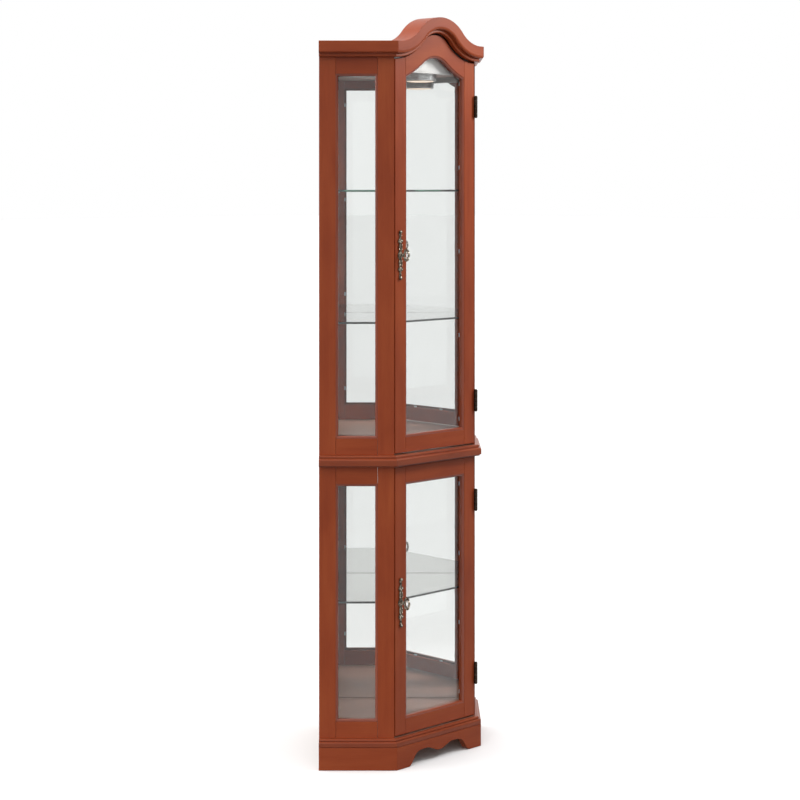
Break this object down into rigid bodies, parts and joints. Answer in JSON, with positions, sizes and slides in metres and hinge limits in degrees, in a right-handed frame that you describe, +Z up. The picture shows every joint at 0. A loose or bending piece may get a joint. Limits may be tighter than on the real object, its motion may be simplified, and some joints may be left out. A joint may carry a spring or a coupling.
{
  "type": "corner curio cabinet",
  "caption": "Five-sided corner curio cabinet with an arched crown, glazed sides, hinged glazed doors above and below a waist moulding, glass shelves and a mirrored back.",
  "frame": {"origin": "centre of the bounding box on the floor, under the cabinet", "axes": "+Z up; -Y out of the front, square to the door faces; +Y towards the rear corner; +X to the viewer's right when facing the doors"},
  "size_m": [0.5676, 0.4286, 1.8],
  "materials": {
    "cherry_wood": "red-brown stained wood under satin lacquer",
    "inner_wood": "stained and lacquered boards",
    "back_wood": "plain stained plywood and softwood",
    "pane_glass": "clear polished glass",
    "shelf_glass": "clear glass with polished green edges",
    "mirror": "silvered glass",
    "antique_bronze": "antiqued cast metal, rubbed bright on the high spots",
    "dark_bronze": "dark bronze plating",
    "steel": "zinc-plated steel",
    "plastic": "white moulded plastic",
    "lamp_lens": "frosted lens, lit"
  },
  "bodies": {
    "carcass": {"base_skirt_front": "cherry_wood", "base_skirt_left": "cherry_wood", "base_skirt_right": "cherry_wood", "base_back_rails": "back_wood", "base_corner_blocks": "back_wood", "bottom_panel": "inner_wood", "base_cap_moulding": "cherry_wood", "divider_panel": "inner_wood", "waist_moulding": "cherry_wood", "top_panel": "inner_wood", "cornice_left": "cherry_wood", "cornice_right": "cherry_wood", "crown_arch": "cherry_wood", "crown_bed_moulding": "cherry_wood", "upper_header_board": "inner_wood", "lower_header_rail": "inner_wood", "upper_left_stiles": "cherry_wood", "upper_left_rails": "cherry_wood", "upper_right_stiles": "cherry_wood", "upper_right_rails": "cherry_wood", "lower_left_stiles": "cherry_wood", "lower_left_rails": "cherry_wood", "lower_right_stiles": "cherry_wood", "lower_right_rails": "cherry_wood", "upper_left_glass": "pane_glass", "upper_right_glass": "pane_glass", "lower_left_glass": "pane_glass", "lower_right_glass": "pane_glass", "side_glass_clips": "plastic", "back_panel_left": "back_wood", "back_panel_right": "back_wood", "upper_mirrors": "mirror", "lower_mirrors": "mirror", "shelf_supports": "plastic", "lamp_housing": "plastic", "lamp_lens": "lamp_lens", "magnetic_catches": "plastic", "hinge_frame_leaves": "dark_bronze", "hinge_pins": "dark_bronze"},
    "upper_glass_shelf": {"upper_shelf": "shelf_glass"},
    "middle_glass_shelf": {"middle_shelf": "shelf_glass"},
    "lower_glass_shelf": {"lower_shelf": "shelf_glass"},
    "upper_door": {"upper_door_stiles": "cherry_wood", "upper_door_top_rail": "cherry_wood", "upper_door_bottom_rail": "cherry_wood", "upper_door_glass": "pane_glass", "upper_door_clips": "plastic", "upper_door_strike": "steel", "upper_pull_plate": "antique_bronze", "upper_pull_key": "antique_bronze", "upper_door_hinge_leaves": "dark_bronze"},
    "lower_door": {"lower_door_stiles": "cherry_wood", "lower_door_top_rail": "cherry_wood", "lower_door_bottom_rail": "cherry_wood", "lower_door_glass": "pane_glass", "lower_door_clips": "plastic", "lower_door_strike": "steel", "lower_pull_plate": "antique_bronze", "lower_pull_key": "antique_bronze", "lower_door_hinge_leaves": "dark_bronze"}
  },
  "joints": [
    {"name": "upper_door_hinge", "type": "hinge", "parent": "carcass", "child": "upper_door", "pos_m": [0.1395, -0.18628, 1.222], "axis": [0, 0, 1], "range_deg": [0, 110]},
    {"name": "lower_door_hinge", "type": "hinge", "parent": "carcass", "child": "lower_door", "pos_m": [0.1395, -0.18628, 0.396], "axis": [0, 0, 1], "range_deg": [0, 110]},
    {"name": "upper_shelf_lift", "type": "slide", "parent": "carcass", "child": "upper_glass_shelf", "axis": [0, 0, 1], "range_m": [0, 0.02]},
    {"name": "middle_shelf_lift", "type": "slide", "parent": "carcass", "child": "middle_glass_shelf", "axis": [0, 0, 1], "range_m": [0, 0.02]},
    {"name": "lower_shelf_lift", "type": "slide", "parent": "carcass", "child": "lower_glass_shelf", "axis": [0, 0, 1], "range_m": [0, 0.02]}
  ]
}
